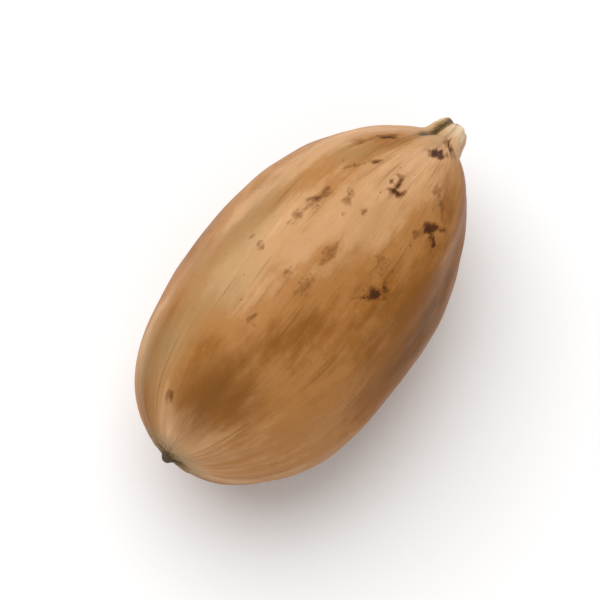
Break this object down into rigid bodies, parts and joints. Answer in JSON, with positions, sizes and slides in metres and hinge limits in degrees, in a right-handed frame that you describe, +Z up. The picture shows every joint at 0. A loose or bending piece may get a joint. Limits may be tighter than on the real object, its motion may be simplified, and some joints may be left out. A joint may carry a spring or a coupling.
{
  "type": "pecan in shell",
  "caption": "Whole pecan nut in its smooth tan shell, elongated, with a blunt base, a pointed beak, fine seams and low lengthwise ridges, lying on its side.",
  "frame": {"origin": "on the surface that the nut lies on, under the middle of its box", "axes": "+X along the nut's long axis towards its beak, +Z up"},
  "size_m": [0.0434, 0.0236, 0.0225],
  "materials": {
    "shell": "satin"
  },
  "bodies": {
    "root": {"pecan_nut": "shell"}
  },
  "joints": []
}
